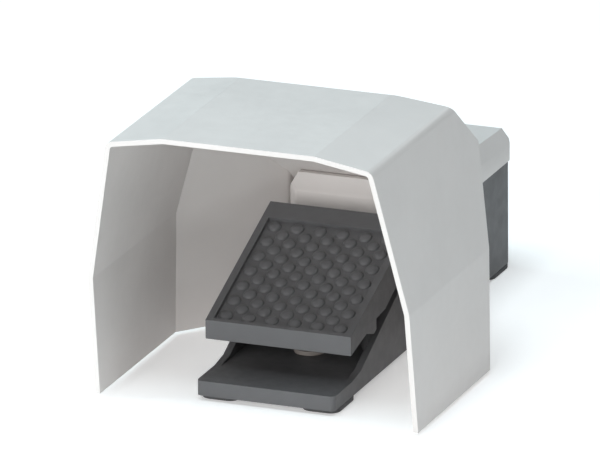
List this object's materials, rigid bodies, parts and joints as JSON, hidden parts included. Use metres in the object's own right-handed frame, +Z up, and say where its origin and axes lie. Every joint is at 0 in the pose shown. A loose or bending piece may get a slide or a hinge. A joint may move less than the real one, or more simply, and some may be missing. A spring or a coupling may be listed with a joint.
{
  "type": "industrial foot switch",
  "caption": "Floor-standing industrial foot switch: hinged pedal with a studded deck under a folded sheet guard hood, on a cast base with a contact housing behind.",
  "frame": {"origin": "on the floor, under the middle of the whole switch", "axes": "+Z up from the floor, +Y from the open front of the hood to the cable entry at the back, +X to the right seen from the front"},
  "size_m": [0.1894, 0.312, 0.1612],
  "materials": {
    "base_paint": "satin dark grey powder coat on die-cast alloy",
    "hood_paint": "smooth light grey powder coat on folded sheet",
    "cover_paint": "smooth light grey powder coat on die-cast alloy",
    "rubber": "matt black moulded rubber",
    "steel": "bright turned steel",
    "zinc_steel": "zinc-plated steel",
    "brass": "plain turned or stamped brass",
    "copper": "stamped copper alloy",
    "nylon": "moulded natural nylon",
    "resin": "moulded black resin",
    "clear_plastic": "smooth pale moulded plastic"
  },
  "bodies": {
    "base": {"base_housing": "base_paint", "rubber_feet": "rubber", "housing_cover": "cover_paint", "cover_gasket": "rubber", "cover_screws": "steel", "guard_hood": "hood_paint", "hood_screws": "steel", "hood_washers": "steel", "pivot_pin": "steel", "pin_clips": "zinc_steel", "return_spring": "steel", "spring_cup": "nylon", "stop_buffers": "rubber", "rest_buffer": "rubber", "plunger_guide": "brass", "plunger_bellows": "rubber", "contact_block": "resin", "contact_lid": "clear_plastic", "contact_spring": "steel", "fixed_contacts": "brass", "terminal_clamps": "zinc_steel", "terminal_screws": "zinc_steel", "block_screws": "zinc_steel", "earth_clamp": "zinc_steel", "earth_screw": "brass"},
    "pedal": {"pedal": "base_paint", "pivot_bushes": "brass", "striker_screw": "zinc_steel", "striker_nut": "zinc_steel"},
    "plunger": {"plunger": "steel", "plunger_ring": "zinc_steel"},
    "carrier": {"contact_carrier": "nylon", "contact_bridges": "copper"}
  },
  "joints": [
    {"name": "pedal_hinge", "type": "hinge", "parent": "base", "child": "pedal", "pos_m": [0, 0.00497, 0.04], "axis": [1, 0, 0], "range_deg": [0, 9], "stiffness_Nm_per_rad": 5, "springref_deg": -14.32, "deforming": ["return_spring"]},
    {"name": "plunger_slide", "type": "slide", "parent": "base", "child": "plunger", "axis": [0, 1, 0], "range_m": [0, 0.00245], "deforming": ["plunger_bellows"]},
    {"name": "carrier_slide", "type": "slide", "parent": "base", "child": "carrier", "axis": [0, 1, 0], "range_m": [0, 0.00245], "deforming": ["contact_spring"]}
  ],
  "couplings": [
    {"joint": "plunger_slide", "follows": "pedal_hinge", "m_per_rad": 0.0154},
    {"joint": "carrier_slide", "follows": "pedal_hinge", "m_per_rad": 0.0154}
  ]
}
